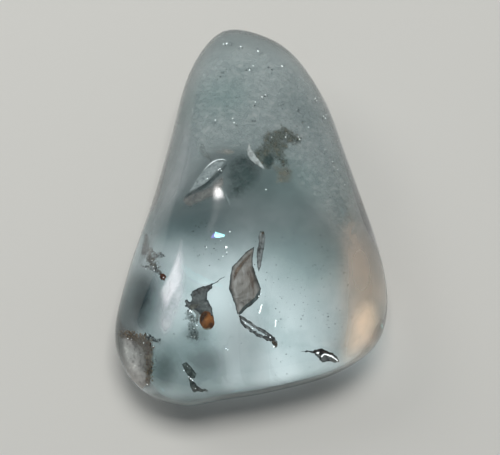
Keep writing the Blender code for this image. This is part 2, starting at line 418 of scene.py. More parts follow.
def mineral(
    name, dark, middle, light, grain, rim=None, roughness=0.5, metal=0, bump=0.5, glow=0, cover=None
):
    """A mottled finish of three colours. grain is how many blotches there are to a mm, all ways or along x,
    y and z, and cover is how solid a veil's thinnest and thickest places are. A veil fades at its rim."""
    if not isinstance(grain, tuple):
        grain = (grain, grain, grain)
    finish = bpy.data.materials.new(name)
    finish.use_nodes = True
    tree = finish.node_tree
    surface = tree.nodes["Principled BSDF"]
    tones = {
        "Point": add(tree, "TexCoord", {}).outputs["Object"],
        "Stretch": [count / MM for count in grain],
        "Dark": (*dark, 1),
        "Middle": (*middle, 1),
        "Light": (*light, 1),
    }
    blotches = add(tree, "Group", tones, node_tree=mottle).outputs
    colour = blotches["Colour"]
    edge = None
    if rim or cover:
        edge = add(tree, "Attribute", {}, attribute_name="rim").outputs["Fac"]
    if rim:
        colour = add(tree, "Mix", {"Factor": edge, 6: colour, 7: (*rim, 1)}, data_type="RGBA").outputs[2]
    tree.links.new(colour, surface.inputs["Base Color"])
    relief = add(tree, "Bump", {"Strength": bump, "Distance": 0.1 * MM, "Height": blotches["Height"]})
    tree.links.new(relief.outputs["Normal"], surface.inputs["Normal"])
    surface.inputs["Roughness"].default_value = roughness
    surface.inputs["Metallic"].default_value = metal
    if glow:
        tree.links.new(colour, surface.inputs["Emission Color"])
        surface.inputs["Emission Strength"].default_value = glow
    if cover:
        blotchy = {"Value": blotches["Height"], "From Min": 0.4, "From Max": 0.62}
        thin = add(tree, "MapRange", {**blotchy, "To Min": cover[0], "To Max": cover[1]}).outputs["Result"]
        inner_share = {"Value": edge, "To Min": 1.0, "To Max": 0.0}
        fading = add(tree, "MapRange", inner_share, interpolation_type="SMOOTHSTEP").outputs["Result"]
        share = add(tree, "Math", {0: thin, 1: fading}, operation="MULTIPLY")
        tree.links.new(share.outputs[0], surface.inputs["Alpha"])
    return finish


taupe_film = mineral(
    "taupe_fracture", (0.17, 0.13, 0.105), (0.34, 0.315, 0.29), (0.52, 0.5, 0.475),
    (2.4, 0.5, 0.7), rim=(0.06, 0.07, 0.07), roughness=0.35, bump=0.15,
)
LEAF_STREAK = [
    (-1.4, -4.45), (-1.22, -3.95), (-0.62, -3.25), (-0.05, -2.75), (0.14, -2.62), (0.08, -3),
    (-0.4, -3.6), (-0.9, -4.25), (-1.15, -4.8), (-1.38, -5.2),
]
LEAF_HEEL = [
    (0.72, -5.4), (0.6, -6.1), (0.15, -6.58), (-0.38, -6.98), (-0.82, -7.38), (-0.98, -7.25), (-0.7, -6.85),
    (-0.25, -6.45), (0.22, -6.1), (0.48, -5.62),
]
streak_film = mineral(
    "brown_streak", (0.1, 0.055, 0.035), (0.2, 0.13, 0.09), (0.36, 0.29, 0.23),
    1.2, roughness=0.4, bump=0.2, cover=(0.25, 0.85),
)
heel_film = mineral(
    "teal_heel", (0.025, 0.04, 0.04), (0.06, 0.085, 0.085), (0.15, 0.18, 0.18),
    1.6, roughness=0.3, cover=(0.7, 1.0),
)
strand_film = mineral(
    "grey_strand", (0.14, 0.15, 0.15), (0.32, 0.33, 0.33), (0.6, 0.61, 0.6),
    (3, 1.5, 2), rim=(0.11, 0.12, 0.12), roughness=0.3,
)
dark_grit_and_shade = mineral(
    "dark_grit_and_painted_shade", (0.03, 0.035, 0.04), (0.13, 0.15, 0.155), (0.38, 0.42, 0.43),
    (4, 1.2, 2), rim=(0.02, 0.025, 0.03), roughness=0.3,
)
film("leaf_film", taupe_film, LEAF_OUTLINE, 2.6, dip=(0.5, 0.25), crumple=0.2, cuts=6)
film("leaf_sliver", strand_film, SLIVER_OUTLINE, 2.0, dip=(0.6, 0.2), crumple=0.3, rim=0.08)
veil("leaf_streak", streak_film, LEAF_STREAK, 2.75, dip=(0.5, 0.25), crumple=0.1, rim=0.16)
veil("leaf_heel", heel_film, LEAF_HEEL, 2.25, dip=(0.5, 0.25), crumple=0.1, rim=0.08)
for name, outline, depth in zip(("tail_strand", "tail_under_strand"), TAIL_OUTLINES, (2.4, 2.9)):
    film(name, strand_film, outline, depth, crumple=0.35, fray=0.06, rim=0.07, cuts=4, thick=0.08)

# The frayed film: a ragged grey tatter with a thin spike, part of the same old crack. A bead of
# iron-stained clay hangs at its foot, amber, with painted shade on its upper left and a painted highlight
# under it, and a trail of glassy grains beside it.
TATTER_OUTLINE = [
    (-1.93, -4.57), (-2.86, -5.17), (-2.89, -5.48), (-3.21, -5.66), (-3.28, -6.27), (-3.07, -6.41),
    (-2.89, -6.94), (-2.77, -7.45), (-3.23, -7.3), (-3.66, -7.4), (-3.88, -7.12), (-4.18, -6.95),
    (-4.48, -6.98), (-4.74, -6.7), (-4.88, -6.34), (-4.71, -6.23), (-4.5, -6.45), (-4.36, -6.38),
    (-4.3, -6.23), (-4.47, -5.93), (-4.26, -5.6), (-3.89, -5.4), (-3.38, -5.28), (-2.9, -5.1),
]
tatter_finish = mineral(
    "grey_tatter", (0.075, 0.07, 0.07), (0.15, 0.165, 0.16), (0.26, 0.27, 0.26),
    (2.2, 2.2, 2), rim=(0.03, 0.04, 0.045), roughness=0.45,
)
film(
    "grey_tatter", tatter_finish, TATTER_OUTLINE, 2.8,
    dip=(-0.2, 0.3), crumple=0.25, fray=0.07, rim=0.1, cuts=4,
)

AMBER_SPOT = (-3.22, -7.8)
AMBER_RADII = (0.49, 0.64, 0.42)
AMBER_DEPTH = 2.4
# The amber's rim colour is painted shade, laid on the bead's upper left.
amber = mineral(
    "amber_bead", (0.12, 0.04, 0.014), (0.36, 0.125, 0.032), (0.62, 0.26, 0.08),
    1.5, rim=(0.06, 0.028, 0.016), roughness=0.3, bump=0.3,
)
bpy.ops.mesh.primitive_ico_sphere_add(subdivisions=4, radius=1)
bead = bpy.context.object
bead.name = "amber_bead"
bead_middle = inside(*AMBER_SPOT, AMBER_DEPTH)
shaded = bead.data.attributes.new("rim", "FLOAT", "POINT")
for vert in bead.data.vertices:
    # It is dark where it faces up the picture and left: painted shade
    shaded.data[vert.index].value = min(max(0.9 * vert.co.y - 0.7 * vert.co.x - 0.1, 0), 1)
    lumps = 1 + 0.1 * noise.noise(vert.co * 1.6 + Vector((4, 1, 2)))
    drop = Vector([part * radius for part, radius in zip(vert.co, AMBER_RADII)])
    vert.co = bead_middle + drop * lumps * MM
bpy.ops.object.shade_smooth()
finish_piece(bead, amber)
# Painted highlight: a pale veil along the bead's lower rim.
BEAD_FOOT = [
    (-3.62, -8.25), (-3.25, -8.38), (-2.9, -8.28), (-2.8, -8.2), (-2.96, -8.42), (-3.25, -8.52),
    (-3.52, -8.44),
]
bead_foot_highlight = mineral(
    "bead_foot_painted_highlight", (0.4, 0.33, 0.24), (0.55, 0.48, 0.37), (0.68, 0.62, 0.52),
    2, cover=(0.6, 0.9),
)
veil(
    "bead_foot", bead_foot_highlight, BEAD_FOOT, 2.0,
    crumple=0, fray=0.02, rim=0.05, cuts=3, slot="iron_stain",
)
# Painted shade: a dark brown veil over the bead's upper left.
BEAD_SHADE = [
    (-3.74, -7.66), (-3.66, -7.36), (-3.44, -7.2), (-3.14, -7.16), (-3.16, -7.4), (-3.36, -7.52),
    (-3.46, -7.8), (-3.66, -8.02),
]
shade_film = mineral(
    "bead_painted_shade", (0.02, 0.01, 0.006), (0.045, 0.022, 0.012), (0.09, 0.045, 0.025),
    3, cover=(0.65, 0.95),
)
veil(
    "bead_shade", shade_film, BEAD_SHADE, 1.85,
    crumple=0, fray=0.03, rim=0.1, cuts=4, slot="iron_stain",
)
OLIVE_SKIRT = [
    (-4.44, -6.5), (-4, -6.5), (-3.41, -6.6), (-3, -6.85), (-2.97, -7.22), (-3.48, -7.25),
    (-3.7, -7.48), (-3.78, -7.85), (-4, -8.15), (-4.18, -7.8), (-4.1, -7.35), (-4.36, -7.05),
    (-4.6, -6.8),
]
olive_veil = mineral(
    "olive_veil", (0.09, 0.09, 0.075), (0.17, 0.17, 0.145), (0.28, 0.28, 0.25),
    2.4, cover=(0.65, 0.95),
)
veil("olive_skirt", olive_veil, OLIVE_SKIRT, 2.7, crumple=0.2, fray=0.1, cuts=4)


def crust(name, finish, spots, seed, subdivisions=1):
    """Small crumpled grains joined in one piece. Each spot is (x, y, depth, radius) in mm."""
    random.seed(seed)
    bpy.ops.mesh.primitive_ico_sphere_add(subdivisions=subdivisions, radius=1)
    grain = bpy.context.object
    shape = [vert.co.copy() for vert in grain.data.vertices]
    faces = [tuple(face.vertices) for face in grain.data.polygons]
    points, sides = [], []
    for x, y, depth, radius in spots:
        turn = Euler([random.uniform(0, math.tau) for _ in range(3)]).to_matrix()
        flat = Vector((1, random.uniform(0.5, 1), random.uniform(0.4, 0.8)))
        middle = inside(x, y, depth)
        if middle is None:
            continue
        first = len(points)
        for corner in shape:
            lump = corner * (1 + random.uniform(-0.3, 0.3))
            points.append(middle + turn @ (lump * flat) * radius * MM)
        sides += [[first + index for index in side] for side in faces]
    cluster = bpy.data.meshes.new(name)
    cluster.from_pydata(points, [], sides)
    grain.data = cluster
    grain.name = name
    finish_piece(grain, finish)


def trail(path, count, spread, depth, sizes):
    """Random spots beside a path of (x, y) places, for crust."""
    spots = []
    for _ in range(count):
        leg = random.randrange(len(path) - 1)
        share = random.random()
        x, y = Vector(path[leg]).lerp(Vector(path[leg + 1]), share) + Vector(
            (random.gauss(0, spread), random.gauss(0, spread))
        )
        spots.append((x, y, max(random.gauss(depth, depth / 5), 0.2), random.uniform(*sizes)))
    return spots


glassy_grain = mineral(
    "glassy_grain", (0.04, 0.06, 0.06), (0.13, 0.17, 0.165), (0.45, 0.5, 0.49),
    5, roughness=0.2, metal=0.2,
)
BEAD_VEIL = [
    (-4.81, -7.03), (-4.44, -6.95), (-4.14, -7.4), (-4.03, -8), (-3.85, -8.38), (-3.7, -8.98),
    (-3.85, -9.36), (-4.07, -9.28), (-4.36, -9.17), (-4.73, -9.13), (-4.81, -8.91), (-4.55, -8.68),
    (-4.62, -8.16), (-4.44, -7.85), (-4.81, -7.7), (-4.92, -7.4),
]
grey_veil = mineral(
    "grey_veil", (0.11, 0.145, 0.14), (0.25, 0.29, 0.28), (0.46, 0.5, 0.49),
    2.6, roughness=0.4, cover=(0.45, 0.95),
)
veil("bead_veil", grey_veil, BEAD_VEIL, 2.7, crumple=0.3, fray=0.2, rim=0.14, cuts=4)
# Painted highlights: this white finish glows by itself, as a glint wherever it stands.
spark = bpy.data.materials.new("glint_white")
spark.use_nodes = True
spark_shader = spark.node_tree.nodes["Principled BSDF"]
spark_shader.inputs["Base Color"].default_value = (0.95, 0.97, 0.97, 1)
spark_shader.inputs["Roughness"].default_value = 0.2
spark_shader.inputs["Emission Color"].default_value = (0.95, 1.0, 1.0, 1)
spark_shader.inputs["Emission Strength"].default_value = 1.3
random.seed(11)
BEAD_TRAIL = [(-4.45, -7.1), (-4.35, -7.75), (-4.3, -8.35), (-4.1, -8.95)]
crust("bead_grains", glassy_grain, trail(BEAD_TRAIL, 34, 0.24, 2.6, (0.03, 0.11)), 12)
crust("bead_glints", spark, [
    (-4.47, -7.09, 2.2, 0.09), (-4.36, -7.18, 2.2, 0.06), (-4.33, -7.67, 2.2, 0.05),
    (-4.17, -8.38, 2.2, 0.05), (-3.96, -8.16, 2.2, 0.05), (-4.11, -9, 2.2, 0.04),
    (-4.31, -9, 2.2, 0.03), (-4.28, -7.9, 2.2, 0.03),
], 13)

# The rim crust: a dirty crack that comes up at the left rim, with an open hollow at its mouth. Dust, brown
# grit and one rust-red grain of iron ore have packed it.
RIM_STUB_OUTLINE = [
    (-7.88, -1.2), (-7.55, -1.3), (-7.47, -2.16), (-7.52, -2.72), (-7.71, -3.02), (-8.14, -3.06),
    (-8.1, -2.49), (-7.94, -1.8),
]
RIM_PATH = [(-7.75, -2.75), (-7.59, -2.95), (-7.42, -3.26), (-7.2, -3.6), (-6.95, -4.05)]
grit = mineral(
    "brown_grit", (0.03, 0.022, 0.016), (0.12, 0.095, 0.07), (0.34, 0.3, 0.24),
    4,
)
stub_finish = mineral(
    "dusty_film", (0.18, 0.165, 0.145), (0.27, 0.25, 0.23), (0.38, 0.36, 0.33),
    (2, 1, 2), roughness=0.6, cover=(0.55, 0.85),
)
veil("rim_film", stub_finish, RIM_STUB_OUTLINE, 0.8, crumple=0.2, fray=0.08, rim=0.16)
RIM_FLAKE = [
    (-7.66, -2.2), (-7.3, -2.4), (-7.02, -2.72), (-6.73, -2.66), (-6.28, -2.86), (-6.36, -3.2),
    (-6.8, -3.22), (-6.98, -3.4), (-6.9, -3.7), (-6.74, -4), (-6.5, -4.25), (-6.45, -4.55), (-6.7, -4.45),
    (-7, -4.32), (-7.47, -4.05), (-7.43, -3.7), (-7.66, -3.41), (-7.78, -3.08), (-7.62, -2.74),
]
flake_veil = mineral(
    "rim_crust", (0.06, 0.055, 0.05), (0.15, 0.14, 0.125), (0.32, 0.3, 0.27),
    4.5, roughness=0.6, bump=0.8, cover=(0.3, 1.0),
)
veil("rim_flake", flake_veil, RIM_FLAKE, 0.9, crumple=0.3, fray=0.14)
random.seed(21)
crust("rim_grit", grit, trail(RIM_PATH, 110, 0.17, 0.7, (0.03, 0.09)), 22)
crust("rim_blob", dark_grit_and_shade, [
    (-6.62, -2.9, 0.7, 0.11), (-6.44, -2.98, 0.7, 0.09), (-6.82, -3.02, 0.7, 0.08),
    (-6.34, -3.06, 0.7, 0.06), (-7.02, -3.1, 0.7, 0.06), (-6.55, -3.1, 0.7, 0.05),
    (-6.95, -2.86, 0.7, 0.05),
], 23, 2)
crust("rim_dots", dark_grit_and_shade, [
    (-8.06, -3.74, 0.6, 0.08), (-7.92, -3.83, 0.6, 0.11), (-7.73, -3.83, 0.6, 0.12),
    (-7.59, -3.81, 0.6, 0.09), (-7.31, -3.83, 0.7, 0.09), (-7.02, -3.91, 0.7, 0.09),
    (-7.2, -4.1, 0.7, 0.07), (-7.83, -3.96, 0.6, 0.06),
], 24)
rust = mineral(
    "rust_red", (0.03, 0.01, 0.006), (0.16, 0.045, 0.02), (0.34, 0.12, 0.05),
    4, roughness=0.4,
)
crust("rust_grain", rust, [(-6.47, -4.6, 0.8, 0.27), (-6.55, -4.48, 0.8, 0.2)], 25, 3)
crust("rim_glints", spark, [
    (-7.86, -3.91, 0.4, 0.06), (-7.71, -3.99, 0.4, 0.06), (-7.27, -3.37, 0.4, 0.05),
    (-7.18, -3.83, 0.4, 0.05), (-7.1, -4.1, 0.4, 0.06), (-6.86, -3.83, 0.4, 0.04),
    (-6.42, -4.62, 0.3, 0.04),
], 26)

# The stained corner: an open fracture cut across the broad end's left corner. Iron has stained its two
# edges gold and rust brown, and its crumpled walls show grey between them, with a faint glow of painted
# light.
CORNER_OUTLINE = [
    (-9.62, -9), (-8.8, -8.85), (-7.63, -9.16), (-7.27, -9.45), (-7.22, -10.1), (-7.25, -10.83),
    (-7.28, -11.55), (-7.34, -12.35), (-7.88, -12.75), (-8.42, -12.25), (-8.95, -11.55), (-9.42, -10.44),
]
CORNER_TOP = [(-9.55, -8.72), (-8.94, -8.74), (-8.29, -8.9), (-7.64, -9)]
CORNER_KNOTS = [(-7.7, -8.98), (-7.34, -9.14), (-6.98, -9.17), (-6.76, -9.23), (-6.58, -9.42)]
CORNER_EDGE = [(-7.33, -9.35), (-7.4, -9.93), (-7.42, -10.52), (-7.42, -11.26), (-7.45, -12.22)]
# Painted light: the walls glow faintly by themselves, where little lamplight reaches them through the steep
# skin.
corner_walls = mineral(
    "corner_walls", (0.36, 0.34, 0.32), (0.62, 0.59, 0.56), (0.92, 0.89, 0.84),
    (1.8, 1.4, 1.4), rim=(0.52, 0.49, 0.45), roughness=0.8, bump=0.1, glow=0.12,
)
film("corner_film", corner_walls, CORNER_OUTLINE, 0.7, dip=(0.15, 0), crumple=0.12, rim=0.2)
gold_stain = mineral(
    "gold_stain", (0.16, 0.1, 0.05), (0.42, 0.3, 0.18), (0.68, 0.55, 0.4),
    3.5, roughness=0.4,
)
STAIN_BANDS = {
    "corner_stain_top": [
        (-9.85, -8.66), (-9.43, -8.6), (-8.61, -8.68), (-7.96, -8.64), (-7.5, -8.85), (-6.98, -9.08),
        (-6.95, -9.5), (-7.55, -9.75), (-8.04, -9.8), (-8.45, -9.4), (-9.02, -9.22), (-9.76, -9.05),
    ],
    "corner_stain_side": [
        (-7.9, -9.4), (-7.39, -9.3), (-7, -9.6), (-6.98, -10.46), (-7, -11.21), (-7.1, -11.88),
        (-7.18, -12.66), (-7.58, -12.75), (-7.74, -12.38), (-7.68, -11.71), (-7.74, -11.05),
        (-7.78, -10.38), (-8, -9.96),
    ],
}
olive_stain = mineral(
    "olive_stain", (0.13, 0.1, 0.065), (0.28, 0.225, 0.16), (0.48, 0.4, 0.3),
    2.2, roughness=0.6, bump=0.3, cover=(0.6, 0.95),
)
for name, outline in STAIN_BANDS.items():
    veil(
        name, olive_stain, outline, 0.45,
        crumple=0.1, fray=0.14, rim=0.22, cuts=4, slot="iron_stain",
    )
random.seed(31)
crust("corner_gold", gold_stain, trail(CORNER_TOP, 60, 0.1, 0.4, (0.05, 0.14)), 32)
crust("corner_rust", rust, trail(CORNER_EDGE, 26, 0.14, 0.35, (0.04, 0.1)), 33)
crust(
    "corner_edge_gold", gold_stain, trail(CORNER_EDGE[2:], 46, 0.14, 0.35, (0.04, 0.11)), 36,
)
crust("corner_grit", dark_grit_and_shade, trail(CORNER_KNOTS, 34, 0.11, 0.4, (0.04, 0.12)), 34)
crust("corner_glints", spark, [
    (-8.95, -9.12, 0.3, 0.05), (-8.7, -9.18, 0.3, 0.05), (-7.8, -9.45, 0.3, 0.06),
    (-7.55, -8.85, 0.3, 0.04), (-7.98, -10.3, 0.3, 0.05), (-7.5, -12.45, 0.3, 0.06),
    (-7.1, -9.7, 0.3, 0.04),
], 35)

# The green grain: a sliver of mica near the broad end's edge, with a curled flake below it. The crystal
# grew round them both, and they glint where they split.
MICA_OUTLINE = [
    (-4.98, -10.95), (-4.7, -10.88), (-4.3, -11.25), (-3.98, -11.7), (-4.1, -12), (-4.45, -12.02),
    (-4.66, -11.65), (-4.9, -11.3),
]
MICA_TAIL = [
    (-4.5, -12.02), (-4.22, -12.2), (-3.95, -12.55), (-3.55, -12.8), (-3.5, -13), (-3.95, -12.92),
    (-4.12, -13.05), (-4.36, -12.66),
]
mica = mineral(
    "green_mica", (0.05, 0.07, 0.065), (0.15, 0.19, 0.175), (0.34, 0.4, 0.37),
    2.5, rim=(0.02, 0.03, 0.03), roughness=0.25,
)
for name, outline in (("mica_flake", MICA_OUTLINE), ("mica_tail", MICA_TAIL)):
    film(name, mica, outline, 1.0, crumple=0.25, fray=0.06, rim=0.08)
crust("mica_bits", mica, [
    (-3.41, -12.85, 1, 0.16), (-3.22, -12.92, 1, 0.1), (-4.45, -12.04, 0.8, 0.12),
], 41, 2)
crust("mica_glints", spark, [
    (-4.37, -12.04, 0.6, 0.08), (-4.25, -12.15, 0.6, 0.06), (-4.86, -11.45, 0.6, 0.06),
    (-4.62, -11.15, 0.6, 0.04), (-4.5, -11.9, 0.6, 0.05), (-4.02, -12.75, 0.6, 0.05),
], 42)

# The dark hollows: soft dark patches in the broad end, where the stone bends the paper's light away. Here
# that shade is painted, as thin dark teal veils that fade out all round.
SHADE_PATCH_CORNERS = 16
PAINTED_SHADE_PATCHES = {  # middle (x, y), radii (x, y) and depth in mm
    "front_painted_shade": ((-3.3, -10.8), (2.1, 1.8), 3.2),
    "corner_painted_shade": ((-6.3, -11.5), (1.4, 1.8), 3.2),
    "grain_painted_shade": ((-4.0, -8.8), (1.5, 1.2), 3.2),
    "left_painted_shade": ((-8.0, -6.4), (1.5, 2.5), 1.0),
}
shade_patch_finish = mineral(
    "smoky_teal", (0.015, 0.035, 0.035), (0.025, 0.05, 0.05), (0.04, 0.07, 0.07),
    0.6, roughness=0.8, bump=0, cover=(0.42, 0.54),
)
for name, (middle, radii, depth) in PAINTED_SHADE_PATCHES.items():
    circle = [math.tau * step / SHADE_PATCH_CORNERS for step in range(SHADE_PATCH_CORNERS)]
    outline = [
        (middle[0] + radii[0] * math.cos(turn), middle[1] + radii[1] * math.sin(turn)) for turn in circle
    ]
    veil(name, shade_patch_finish, outline, depth, crumple=0.1, rim=min(radii) * 0.95, cuts=6)

# The silver crumple: a small flat gas bubble, healed into a crack beside the broad end's open pit. Its
# walls mirror the room like foil, under a black-brown brow. Their white flashes are painted reflections
# that glow by themselves.
SILVER_OUTLINE = [
    (4.42, -10.08), (4.69, -9.93), (5, -9.84), (5.3, -9.93), (5.55, -10.06), (5.86, -10.15),
    (6.06, -10.34), (6.3, -10.62), (6.32, -10.83), (6.07, -10.88), (5.73, -10.8), (5.43, -10.78),
    (5.18, -10.86), (4.99, -10.72), (4.85, -10.49), (4.62, -10.31),
]
SILVER_TAIL = [
    (3.59, -10.03), (3.9, -10.05), (4.05, -9.95), (4.2, -10), (4.45, -10.08), (4.51, -10.19),
    (4.2, -10.11), (4.05, -10.07), (3.93, -10.13),
]
silver = mineral(
    "silver_bubble", (0.18, 0.2, 0.2), (0.4, 0.44, 0.44), (0.66, 0.7, 0.7),
    2.2, rim=(0.012, 0.014, 0.014), roughness=0.3, metal=0.2, bump=0.6,
)
for name, outline in (("silver_bubble", SILVER_OUTLINE), ("silver_tail", SILVER_TAIL)):
    film(name, silver, outline, 1.6, crumple=0.3, fray=0.05, rim=0.1)
SILVER_BROW = [
    (4.43, -10.09), (4.72, -9.94), (5.03, -9.85), (5.3, -9.94), (5.58, -10.06), (5.92, -10.18),
    (5.98, -10.37), (5.67, -10.27), (5.37, -10.19), (5.12, -10.22), (4.97, -10.34), (4.89, -10.27),
    (4.94, -10.1), (4.75, -10.06), (4.54, -10.21),
]
brow_film = mineral(
    "black_brown_film", (0.006, 0.005, 0.005), (0.03, 0.022, 0.018), (0.12, 0.095, 0.08),
    3, roughness=0.4,
)
film("silver_brow", brow_film, SILVER_BROW, 1.2, crumple=0.1, fray=0.05, rim=0.05, cuts=3)
# Painted reflections: white flashes on the bubble's walls, in the glowing glint finish.
SILVER_FLASHES = {
    "silver_flash_spot": [(4.7, -10.16), (4.78, -10.11), (4.9, -10.12), (4.86, -10.21), (4.76, -10.23)],
    "silver_flash_arc": [
        (5.05, -10.46), (5.11, -10.32), (5.27, -10.25), (5.5, -10.27), (5.75, -10.36), (5.99, -10.5),
        (6.17, -10.63), (6.24, -10.77), (6.19, -10.77), (6.1, -10.66), (5.94, -10.54), (5.7, -10.43),
        (5.46, -10.33), (5.26, -10.32), (5.15, -10.4), (5.1, -10.49),
    ],
}
for name, outline in SILVER_FLASHES.items():
    film(name, spark, outline, 1.0, crumple=0.05, fray=0.03, rim=0.03, cuts=2)

# The crescent: a shell-shaped fracture just under the crown, silver-grey, with a bright lip and a brown
# wedge of staining on its lower side. The lip is a painted highlight that glows by itself, and a veil of
# painted shade darkens the crescent's lower side.
CRESCENT_OUTLINE = [
    (-1.8, 4.23), (-2.31, 4.3), (-2.92, 4.02), (-3.44, 3.52), (-3.85, 3.02), (-4.15, 2.56), (-4.62, 1.78),
    (-3.96, 2.13), (-3.44, 2.4), (-2.91, 2.95), (-2.54, 3.49), (-2.05, 3.92),
]
CRESCENT_LIP = [
    (-1.82, 4.2), (-2.14, 4.31), (-2.51, 4.29), (-2.87, 4.13), (-3.24, 3.81), (-3.66, 3.3), (-3.24, 3.73),
    (-2.84, 4.04), (-2.49, 4.2), (-2.14, 4.23),
]
WEDGE_OUTLINE = [
    (-5.2, 1.2), (-4.9, 1.66), (-4.29, 1.84), (-3.61, 2.05), (-2.98, 2.4), (-2.51, 2.85), (-2.1, 3.2),
    (-1.9, 2.86), (-2, 2.22), (-2.24, 1.68), (-2.98, 1.2), (-3.61, 0.98), (-4.03, 0.76), (-4.55, 0.52),
    (-4.98, 0.74),
]
CRESCENT_SHADE = [
    (-5.18, 1.2), (-4.82, 1.68), (-4.13, 2.11), (-3.5, 2.54), (-2.98, 2.97), (-2.51, 3.4), (-1.98, 3.88),
    (-1.8, 4.12), (-1.74, 3.78), (-2.1, 3.2), (-2.6, 2.66), (-3.08, 2.2), (-3.71, 1.8), (-4.34, 1.55),
    (-4.87, 1.3),
]
crescent_film = mineral(
    "crescent_film", (0.2, 0.23, 0.23), (0.34, 0.38, 0.38), (0.5, 0.54, 0.54),
    (5, 5, 3), rim=(0.3, 0.33, 0.33), roughness=0.3,
)
wedge_film = mineral(
    "brown_wedge", (0.12, 0.11, 0.1), (0.21, 0.195, 0.18), (0.32, 0.3, 0.28),
    1.6, cover=(0.6, 0.95),
)
# Painted highlight: the lip's pale colours glow by themselves.
lip_highlight_finish = mineral(
    "lip_painted_highlight", (0.55, 0.6, 0.6), (0.75, 0.8, 0.8), (0.95, 0.98, 0.98),
    4, roughness=0.2, glow=0.25,
)
film("crescent_film", crescent_film, CRESCENT_OUTLINE, 0.7, crumple=0.1, fray=0.02)
veil("wedge_film", wedge_film, WEDGE_OUTLINE, 1.0, crumple=0.1, fray=0.1, rim=0.3, cuts=6)
# Painted shade: a dark teal veil along the crescent's lower side.
shade_veil = mineral(
    "teal_shade", (0.012, 0.022, 0.022), (0.025, 0.042, 0.042), (0.05, 0.07, 0.07),
    2.0, roughness=0.6, cover=(0.6, 0.9),
)
veil("crescent_shade", shade_veil, CRESCENT_SHADE, 0.85, crumple=0, rim=0.2)
crust("crescent_dots", spark, [
    (-2.45, 3.48, 0.5, 0.06), (-2.33, 3.55, 0.5, 0.05), (-2.24, 3.4, 0.5, 0.04), (-3.24, 2.81, 0.5, 0.05),
    (-3.35, 2.76, 0.5, 0.03),
], 63)
film("crescent_lip", lip_highlight_finish, CRESCENT_LIP, 0.5, crumple=0.02, fray=0.01, rim=0.1, cuts=3)

# The knee: the same fracture bends down beyond the crescent and looks dark there, shade that a dark teal
# veil paints. Thin stain, brown to the left and peach above, has crept between its walls.
KNEE_OUTLINE = [
    (-1.95, 4.15), (-1.4, 4.65), (-0.67, 4.9), (-0.1, 4.85), (0.5, 4.4), (1, 3.8), (0.95, 2.9),
    (0.45, 2.1), (-0.2, 1.55), (-0.88, 1.1), (-1.75, 1), (-2.1, 1.6), (-1.9, 2.43), (-2.1, 2.97),
    (-2.05, 3.6),
]
SMEAR_OUTLINE = [
    (-3.95, 5.55), (-3.55, 5.6), (-3.1, 4.75), (-2.7, 4.25), (-3.05, 3.95), (-3.55, 4.4), (-3.95, 4.9),
]
# Painted shade: the dark teal veil over the knee, used again in the moss.
knee_painted_shade = mineral(
    "teal_painted_shade", (0.02, 0.04, 0.038), (0.04, 0.068, 0.065), (0.08, 0.11, 0.105),
    1.3, cover=(0.45, 0.88),
)
smear_veil = mineral(
    "brown_veil", (0.06, 0.065, 0.055), (0.11, 0.11, 0.095), (0.22, 0.2, 0.17),
    1.8, cover=(0.3, 0.75),
)
veil("knee_painted_shade", knee_painted_shade, KNEE_OUTLINE, 1.6, crumple=0.3, fray=0.15, rim=0.8, cuts=6)
PEACH_SMEAR = [(-2.8, 4.9), (-2.2, 5.2), (-1.4, 5.15), (-1, 4.9), (-1.3, 4.6), (-2.1, 4.55), (-2.6, 4.65)]
peach_veil = mineral(
    "peach_veil", (0.3, 0.24, 0.2), (0.42, 0.35, 0.3), (0.5, 0.44, 0.38),
    1.4, cover=(0.2, 0.7),
)
veil("peach_smear", peach_veil, PEACH_SMEAR, 0.8, crumple=0.2, fray=0.1, rim=0.25)
veil("crescent_smear", smear_veil, SMEAR_OUTLINE, 1.0, crumple=0.2, fray=0.1, rim=0.25, cuts=6)

# The moss: a brown and green cloud of fine mineral grains, overgrown just under the crown, with a peach
# foot. A bright splinter, the face of a small crack, lies beside it; its pale colour and faint glow are a
# painted reflection.
MOSS_PATHS = (
    ([(0.4, 4.5), (0.9, 4.9), (1.3, 5.2)], 70, 0.26, (0.03, 0.07)),
    ([(1.1, 5.4), (1.6, 5.9), (2.2, 5.7)], 80, 0.3, (0.03, 0.07)),
    ([(1.9, 6.3), (2.4, 6.5), (3.2, 6.2)], 60, 0.24, (0.02, 0.07)),
    ([(3.0, 6.0), (3.5, 5.8)], 40, 0.2, (0.03, 0.08)),
    ([(2.1, 4.6), (2.5, 4.0), (2.8, 3.2)], 40, 0.22, (0.03, 0.07)),
)
SPLINTER_OUTLINE = [
    (-0.17, 5.48), (-0.04, 5.1), (0.18, 4.78), (0.47, 4.34), (0.78, 3.95), (1, 3.5), (0.73, 3.64),
    (0.34, 3.92), (0, 4.19), (-0.26, 4.57), (-0.28, 5.06),
]
moss = mineral(
    "moss_grain", (0.03, 0.04, 0.03), (0.1, 0.1, 0.08), (0.3, 0.24, 0.19),
    2.4, roughness=0.6,
)
MOSS_VEIL = [
    (0.05, 4.5), (0.15, 5.1), (0.7, 5.45), (0.8, 6.1), (1.3, 6.55), (1.92, 6.7), (2.38, 6.95), (2.9, 6.75),
    (3.3, 6.35), (3.75, 6.1), (3.85, 5.6), (3.35, 5.2), (2.9, 5.4), (2.8, 5), (2.5, 4.8), (2.85, 4.2),
    (2.9, 3.7), (2.29, 3.75), (1.92, 4.1), (1.6, 3.45), (1.15, 3.4), (0.75, 3.7), (0.35, 4.1),
]
moss_veil = mineral(
    "moss_veil", (0.04, 0.055, 0.045), (0.1, 0.115, 0.09), (0.22, 0.19, 0.155),
    2.6, roughness=0.6, cover=(0.4, 0.92),
)
veil("moss_bed", moss_veil, MOSS_VEIL, 0.22, crumple=0, fray=0.22, rim=0.4, cuts=6)
